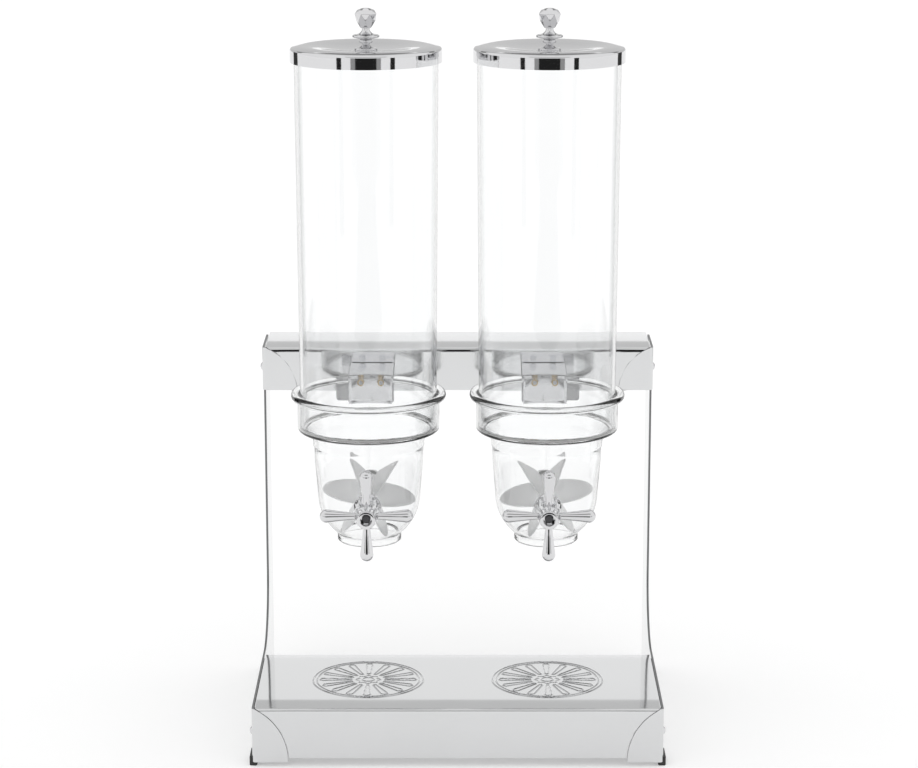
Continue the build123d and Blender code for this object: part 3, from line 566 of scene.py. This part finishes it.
bowl_outline = [(59.3, 283.0), (59.3, 297.0), (59.3, 311.9), (59.9, 312.5)]
bowl_outline += arc((63.6, 311.0), 3.3, 153, -134.2, 26)
bowl_outline += [(61.3, 307.6), (61.3, 295.0)]
bowl_outline += arc((58.8, 283.0), 2.5, 0, -90, 8)
bowl_outline += bow((54.6, 280.5), (50.0, 275.0), (48.2, 267.0), 12)
bowl_outline += [(47.6, 266.2), (47.2, 255.5), (45.8, 239.0)]
bowl_outline += bow((44.4, 223.0), (36.37, 197.53), (26.8, 187.6), 22)
bowl_outline += [(27.7, 186.4), (27.7, 182.6), (26.8, 181.5), (26.0, 181.5), (25.2, 182.3)]
bowl_outline += bow((25.2, 189.4), (34.4, 198.91), (42.0, 223.0), 22)
bowl_outline += [(43.6, 239.0), (45.2, 255.5)]
bowl_outline += bow((45.2, 269.5), (47.8, 277.5), (52.7, 283.0), 10)
boss_radius, boss_root, boss_face, boss_round = 10.0, 42.8, 47.5, 0.6
bush_hole = 6.0
collar_bore, collar_floor = 59.3, 283.0
pad_half, pad_front, pad_back, pad_bottom, pad_top = 20.0, 57.0, 67.5, 289.0, 311.6
for side, unit in ((-1, "left"), (1, "right")):
    post = Matrix.Translation((side * axis_x, axis_y, 0))
    out, back = shaft_frame(side), shaft_frame(side, -1)
    shell = bmesh.new()
    lathe(shell, bowl_outline, post, 160)
    pad = bmesh.new()
    block(pad, (side * axis_x - pad_half * mm, axis_y + pad_front * mm, pad_bottom * mm),
          (side * axis_x + pad_half * mm, axis_y + pad_back * mm, pad_top * mm))
    joined = combine(solid(shell), [
        ("UNION", solid(pad)),
        ("UNION", rod(boss_radius, boss_root, boss_face, out, round_by=boss_round)),
        ("UNION", rod(boss_radius, boss_root, boss_face, back, round_by=boss_round)),
        ("DIFFERENCE", rod(collar_bore, collar_floor, 330.0, post, 160)),
        ("DIFFERENCE", rod(bush_hole, -60.0, 60.0, out))])
    make_object(f"bowl_{unit}_moulding", joined, clear_plastic,
                f"bowl_unit_{unit}", [f"bowl_{unit}"], sharp=38)

# ---------------------------------------------------------------- seals
# A soft ring lies on the floor of each collar, and the tube stands on it.
seal_rubber = finish_material("seal_rubber", (0.55, 0.55, 0.54), (0.68, 0.68, 0.67), (0.4, 0.6), 0.0,
                              smear=(30.0, 0.7, 0.3), relief=0.08)
for unit in ("left", "right"):
    dress(f"seal_{unit}", seal_rubber)

# ---------------------------------------------------------------- tubes
# Tall clear tubes, moulded with a slight taper so that they leave the mould, with a small bead
# outside the mouth that stiffens it. Each drops into its collar and lifts out to be filled.
tube_foot, tube_bands, tube_growth = 285.5, 12, 2.2


def taper(start):
    """Points up a wall that widens evenly from a start radius, without its two ends."""
    return [(start + tube_growth * i / tube_bands, tube_foot + (323.0 / tube_bands - 0.4) * i)
            for i in range(1, tube_bands)]


tube_outline = [(56.4, tube_foot), (56.8, 285.0), (58.4, 285.0), (58.8, tube_foot)] + taper(58.8)
tube_outline += arc((61.0, 605.2), 1.4, -90, 90, 10)
tube_outline += [(61.0, 608.5), (60.4, 609.2), (59.2, 609.2), (58.6, 608.5)] + taper(56.4)[::-1]
for side, unit in ((-1, "left"), (1, "right")):
    wall = bmesh.new()
    lathe(wall, tube_outline, Matrix.Translation((side * axis_x, axis_y, 0)), 180)
    make_object(f"tube_{unit}_moulding", wall, clear_plastic, f"tube_unit_{unit}",
                [f"tube_{unit}"])

# ---------------------------------------------------------------- bushes and shafts
# Flanged plastic sleeves are pressed into the bosses, and a steel shaft runs through both. It is
# square where the paddle wheel and the handle grip it, and round where it turns in the bushes.
bearing_plastic = finish_material("bearing_plastic", (0.66, 0.665, 0.66), (0.8, 0.8, 0.79),
                                  (0.3, 0.45), 0.0, smear=(50.0, 0.7, 0.3), relief=0.05)
for unit in ("left", "right"):
    dress(f"front_bush_{unit}", bearing_plastic)
    dress(f"rear_bush_{unit}", bearing_plastic)
    dress(f"shaft_{unit}", zinc_steel)

# ---------------------------------------------------------------- paddle wheels
# Soft moulded silicone: six round-ended vanes on a long sleeve, thinner towards their edges, so
# that they bend past what they meet and don't crush it. Each portions out what falls between.
paddle_radius = 41.0
sleeve_half = 38.5
sleeve_radius = 8.0
sleeve_bore = 4.0
vane_count = 6
vane_phase = 7.0
vane_foot = 6.0
vane_shoulder = 16.0
vane_corner = 4.0
vane_half = 1.5
stations = 32
reach_shares = (0, 0.08, 0.3, 0.6, 0.85, 0.95, 0.985)
thickness_shares = (1.25, 1.0, 0.9, 0.8, 0.72, 0.6, 0.35)
silicone = finish_material("silicone", (0.86, 0.865, 0.865), (0.95, 0.95, 0.95), (0.4, 0.55), 0.0,
                           smear=(22.0, 0.7, 0.3), relief=0.06)
shader = silicone.node_tree.nodes["Principled BSDF"]
shader.inputs["Transmission Weight"].default_value = 0.2
shader.inputs["IOR"].default_value = 1.41
# Painted light: a faint white glow makes the silicone vanes lighter, though they give off no light.
shader.inputs["Emission Strength"].default_value = 0.1


def vane_ring(along):
    """The vane's section at a place along the sleeve, as (radius, half thickness) points."""
    reach = math.sqrt(paddle_radius ** 2 - along ** 2)
    into = abs(along) - (sleeve_half - vane_corner)
    if into > 0:
        reach = min(reach, vane_shoulder + math.sqrt(max(0.0, vane_corner ** 2 - into ** 2)))
    half = vane_half * math.sqrt(max(0.0, 1 - (abs(along) / (sleeve_half + 0.15)) ** 6))
    face = [(vane_foot + (reach - vane_foot) * share, half * part)
            for share, part in zip(reach_shares, thickness_shares)]
    return face + [(reach, 0.0)] + [(r, -t) for r, t in reversed(face)]


for side, unit in ((-1, "left"), (1, "right")):
    out = shaft_frame(side)
    wheel = bmesh.new()
    sleeve = [(sleeve_bore, -sleeve_half), (7.2, -sleeve_half), (sleeve_radius, -sleeve_half + 0.8),
              (sleeve_radius, sleeve_half - 0.8), (7.2, sleeve_half), (sleeve_bore, sleeve_half)]
    lathe(wheel, sleeve, out, 48)
    for index in range(vane_count):
        angle = math.radians(side * vane_phase + 360 / vane_count * index)
        turn = out @ Matrix.Rotation(angle, 4, "Z")
        rings = []
        for station in range(stations + 1):
            along = math.sin(math.pi * (station / stations - 0.5)) * sleeve_half
            rings.append([wheel.verts.new(turn @ Vector((r * mm, t * mm, along * mm)))
                          for r, t in vane_ring(along)])
        for one, two in zip(rings, rings[1:]):
            for i in range(len(one)):
                j = (i + 1) % len(one)
                wheel.faces.new((one[i], one[j], two[j], two[i]))
        wheel.faces.new(rings[0])
        wheel.faces.new(list(reversed(rings[-1])))
    make_object(f"paddle_wheel_{unit}_moulding", wheel, silicone, f"crank_{unit}",
                [f"paddle_wheel_{unit}"])

# ---------------------------------------------------------------- escutcheons
# A chromed fluted cone slides over the front bush and hides it behind the handle.
cone_face = 67.5
cone_outline = [(8.8, boss_face), (11.6, boss_face), (12.0, 48.0), (12.0, 49.3)]
cone_outline += bow((11.8, 50.0), (9.6, 57.5), (8.4, 66.8), 14)
cone_outline += [(8.0, cone_face), (4.5, cone_face), (4.5, 50.0), (8.8, 50.0)]


def fluted(radius, height, angle):
    """Sixteen flutes that deepen towards the front of the cone and leave its bore round."""
    if radius < 8.9 and height < 60:
        return 1.0
    depth = 0.055 * min(1.0, max(0.0, (height - 50.0) / 4.0)) if height < cone_face - 0.1 else 0.0
    return 1.0 - depth * abs(math.sin(8 * angle)) ** 0.7


for side, unit in ((-1, "left"), (1, "right")):
    cone = bmesh.new()
    lathe(cone, cone_outline, shaft_frame(side), 192, fluted)
    make_object(f"escutcheon_{unit}_cast", cone, chrome, f"bowl_unit_{unit}",
                [f"escutcheon_{unit}"], sharp=30)

# ---------------------------------------------------------------- cross handles
# One chromed casting each: a flared hub cut with flutes, and four arms that swell to rounded
# ends. It fits the shaft's square, and a screw sunk in the hub's middle holds it on.
blackened = finish_material("blackened_screw", (0.03, 0.03, 0.032), (0.12, 0.12, 0.125), (0.2, 0.35),
                            1.0, smear=(70.0, 0.6, 0.4))
hub_outline = [(4.2, 68.0), (7.6, 68.0), (8.2, 68.6)]
hub_outline += bow((8.9, 69.4), (10.3, 71.2), (10.6, 74.0), 8)
hub_outline += bow((10.5, 77.5), (9.6, 83.0), (8.3, 88.3), 12)
hub_outline += [(7.9, 89.2), (7.5, 89.8), (7.1, 90.0), (5.5, 90.0), (5.0, 89.6), (5.0, 83.2),
                (4.8, 83.0), (2.2, 83.0), (2.2, 80.0), (4.2, 79.5)]


def petals(radius, height, angle):
    """Twelve flutes that open from the waist of the hub to its front."""
    if radius < 7.6 or height < 69 or height > 89.5:
        return 1.0
    share = min(1.0, max(0.0, (height - 69.5) / 3)) * min(1.0, max(0.0, (89.5 - height) / 2.5))
    return 1.0 - 0.11 * share * abs(math.sin(6 * angle)) ** 0.8


arm_height, arm_root, arm_neck = 75.0, 2.9, 3.0
ball_radius, ball_centre = 5.7, 33.9
arm_outline = [(0.0, 6.4), (arm_root, 6.4), (arm_root, 9.1), (arm_neck, 10.5)]
arm_outline += [(arm_neck + 2.7 * (i / 8) ** 1.15, 10.5 + 23.4 * i / 8) for i in range(1, 8)]
arm_outline += arc((0.0, ball_centre), ball_radius, 0, 84, 12)
arm_outline += [(0.0, ball_centre + ball_radius)]
for side, unit in ((-1, "left"), (1, "right")):
    out = shaft_frame(side)
    grip = bmesh.new()
    lathe(grip, hub_outline, out, 192, petals)
    for index in range(4):
        arm = out @ Matrix.Translation((0, 0, arm_height * mm))
        arm = arm @ Matrix.Rotation(math.pi / 2 * index, 4, "Z")
        lathe(grip, arm_outline, arm @ Matrix.Rotation(math.pi / 2, 4, "Y"), 48)
    make_object(f"cross_handle_{unit}_cast", grip, chrome, f"crank_{unit}",
                [f"cross_handle_{unit}"], sharp=32)
    dress(f"handle_screw_{unit}", blackened)

# ---------------------------------------------------------------- lids
# Spun from thin sheet and chromed: a deep straight rim over the tube's mouth, a raised ring near
# the edge and a shallow dish in the middle, where one screw from below holds the knob.
def flow(points, steps):
    """A smooth line through points, with a few steps between each pair."""
    line = []
    for i in range(len(points) - 1):
        a = points[max(0, i - 1)]
        b, c = points[i], points[i + 1]
        d = points[min(len(points) - 1, i + 2)]
        for k in range(steps):
            t = k / steps
            line.append(tuple(0.5 * (2 * b[n] + (c[n] - a[n]) * t
                                     + (2 * a[n] - 5 * b[n] + 4 * c[n] - d[n]) * t * t
                                     + (3 * b[n] - a[n] - 3 * c[n] + d[n]) * t ** 3)
                              for n in (0, 1)))
    return line + [points[-1]]


lid_top = [(61.9, 610.5), (57.0, 611.6), (51.4, 612.0), (44.0, 611.5), (36.0, 610.6), (28.9, 609.7),
           (20.0, 608.9), (12.0, 608.5)]
lid_sheet = 1.0
rim_radius = 64.3
bend_centre, bend_radius = (61.9, 608.1), 2.4
lid_outline = [(rim_radius - lid_sheet, 598.5), (rim_radius, 598.5), (rim_radius, 603.0)]
lid_outline += arc(bend_centre, bend_radius, 0, 90, 8)[:-1]
lid_outline += flow(lid_top, 5) + [(2.2, 608.5), (2.2, 607.5)]
lid_outline += [(r, z - lid_sheet) for r, z in reversed(flow(lid_top, 3))]
lid_outline += arc(bend_centre, bend_radius - lid_sheet, 90, 0, 5)
for side, unit in ((-1, "left"), (1, "right")):
    sheet = bmesh.new()
    lathe(sheet, lid_outline, Matrix.Translation((side * axis_x, axis_y, 0)), 200)
    make_object(f"lid_{unit}_spun", sheet, chrome, f"lid_unit_{unit}", [f"lid_{unit}"])
    dress(f"lid_screw_{unit}", zinc_steel)

# ---------------------------------------------------------------- lid knobs
# A chromed casting: a flared foot, a thin stem with a saucer, and a crown cut in flat facets
# like a gem, so that fingers hold it.
stem_outline = [(0.0, 608.5), (9.7, 608.5), (9.7, 609.3)]
stem_outline += bow((9.3, 609.6), (5.2, 610.9), (3.2, 613.1), 10)
stem_outline += bow((3.6, 613.9), (5.8, 615.4), (4.4, 617.3), 8)
stem_outline += [(10.4, 618.6)] + bow((10.9, 618.8), (11.6, 619.7), (10.8, 620.6), 6)
stem_outline += bow((10.2, 620.9), (5.6, 622.1), (3.4, 624.5), 8) + [(3.2, 627.0), (0.0, 627.0)]
crown_sides = 8
crown_levels = ((4.6, 626.5, 0.5), (8.2, 632.6, 0.0), (9.9, 638.6, 0.5), (7.0, 641.6, 0.0),
                (3.4, 643.0, 0.5))
for side, unit in ((-1, "left"), (1, "right")):
    post = Matrix.Translation((side * axis_x, axis_y, 0))
    turned = bmesh.new()
    lathe(turned, stem_outline, post, 96)
    levels = []
    for radius, height, shift in crown_levels:
        turns = [2 * math.pi / crown_sides * (i + shift) for i in range(crown_sides)]
        levels.append([turned.verts.new(post @ Vector((
            radius * mm * math.cos(t), radius * mm * math.sin(t), height * mm))) for t in turns])
    for level, (low, high) in enumerate(zip(levels, levels[1:])):
        for i in range(crown_sides):
            j = (i + 1) % crown_sides
            if level % 2 == 0:
                turned.faces.new((low[i], high[j], high[i]))
                turned.faces.new((low[i], low[j], high[j]))
            else:
                turned.faces.new((low[i], low[j], high[i]))
                turned.faces.new((low[j], high[j], high[i]))
    turned.faces.new(levels[-1])
    turned.faces.new(list(reversed(levels[0])))
    knob = make_object(f"lid_knob_{unit}_cast", turned, chrome, f"lid_unit_{unit}",
                       [f"lid_knob_{unit}"], sharp=14)
    soften(knob, 0.18 * mm, 2, 14)

# ---------------------------------------------------------------- floor, cards and camera
# A white floor that curves up far behind, soft white light all round, and grey and dark cards
# that only show as reflections in the chrome and the clear plastic. The camera looks slightly down.
floor_half, bend_start, bend = 14.0, 8.0, 1.4
sweep = bmesh.new()
line = [(-floor_half, 0.0), (bend_start, 0.0)]
line += [(bend_start + y, bend + z) for y, z in arc((0.0, 0.0), bend, -82, -2, 10)]
line += [(bend_start + bend, 2.6)]
rows = [[sweep.verts.new((x, y, z)) for x in (-floor_half, floor_half)] for y, z in line]
for low, high in zip(rows, rows[1:]):
    sweep.faces.new((low[0], low[1], high[1], high[0])).smooth = True
mesh = bpy.data.meshes.new("sweep")
sweep.to_mesh(mesh)
sweep.free()
floor = bpy.data.objects.new("sweep", mesh)
bpy.context.scene.collection.objects.link(floor)
paper = finish_material("paper", (0.68, 0.68, 0.68), (0.72, 0.72, 0.72), (0.8, 0.9), 0.0,
                        smear=(3.0, 0.8, 0.2))
paper.node_tree.nodes["Principled BSDF"].inputs["Emission Strength"].default_value = 0.33
mesh.materials.append(paper)
floor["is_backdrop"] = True


def card(name, place, size, faces, strength):
    """A flat studio card that faces a point and only shows as a reflection."""
    made = bmesh.new()
    bmesh.ops.create_grid(made, x_segments=1, y_segments=1, size=0.5)
    surface = bpy.data.meshes.new(name)
    made.to_mesh(surface)
    made.free()
    piece = bpy.data.objects.new(name, surface)
    bpy.context.scene.collection.objects.link(piece)
    piece.scale = (size[0], size[1], 1.0)
    piece.location = place
    piece.rotation_euler = (Vector(faces) - Vector(place)).to_track_quat("Z", "Y").to_euler()
    material = bpy.data.materials.new(name)
    material.use_nodes = True
    tree = material.node_tree
    tree.nodes.clear()
    glow = tree.nodes.new("ShaderNodeEmission")
    glow.inputs["Strength"].default_value = strength
    glow.inputs["Color"].default_value = (1.0, 1.0, 1.0, 1.0)
    output = tree.nodes.new("ShaderNodeOutputMaterial")
    tree.links.new(glow.outputs[0], output.inputs["Surface"])
    surface.materials.append(material)
    piece.visible_camera = False
    piece.visible_transmission = False
    piece.visible_diffuse = False
    piece.visible_shadow = False
    piece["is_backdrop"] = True


middle = (0.0, axis_y, 0.32)
card("dark_behind_camera", (0.0, -2.9, 0.36), (1.6, 0.8), middle, 0.02)
card("grey_behind_camera", (0.0, -2.95, 0.36), (2.4, 0.8), middle, 0.35)
card("dark_before_tubes", (0.0, -2.25, 0.01), (1.3, 1.3), (0.0, -2.25, 1.0), 0.02)
for side in (-1, 1):
    card("dark_beside_camera", (side * 1.6, -1.95, 0.38), (0.32, 0.8), middle, 0.02)
    card("dark_rear_side", (side * 1.28, 0.9, 0.42), (0.4, 0.9), middle, 0.05)
card("pale_behind", (0.0, 1.7, 1.09), (5.0, 0.74), (0.0, 0.0, 1.09), 0.66)
card("grey_above_behind", (0.0, 1.6, 1.75), (5.0, 0.5), middle, 0.3)
card("grey_above_camera", (0.0, -1.9, 2.3), (2.6, 0.8), middle, 0.25)

world = bpy.data.worlds.new("studio")
world.use_nodes = True
world.node_tree.nodes["Background"].inputs["Color"].default_value = (1.0, 1.0, 1.0, 1.0)
world.node_tree.nodes["Background"].inputs["Strength"].default_value = 1.0
bpy.context.scene.world = world
bpy.context.scene.view_settings.view_transform = "Standard"

downward_tilt = 13.09
lens = bpy.data.cameras.new("camera")
lens.sensor_fit = "HORIZONTAL"
lens.sensor_width = 36.0
lens.lens = 111.0
lens.clip_start = 0.05
lens.clip_end = 50.0
camera = bpy.data.objects.new("camera", lens)
camera.location = (0.0011, -2.430, 0.873)
camera.rotation_euler = (math.radians(90 - downward_tilt), 0.0, 0.0)
bpy.context.scene.collection.objects.link(camera)
bpy.context.scene.camera = camera

low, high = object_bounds()
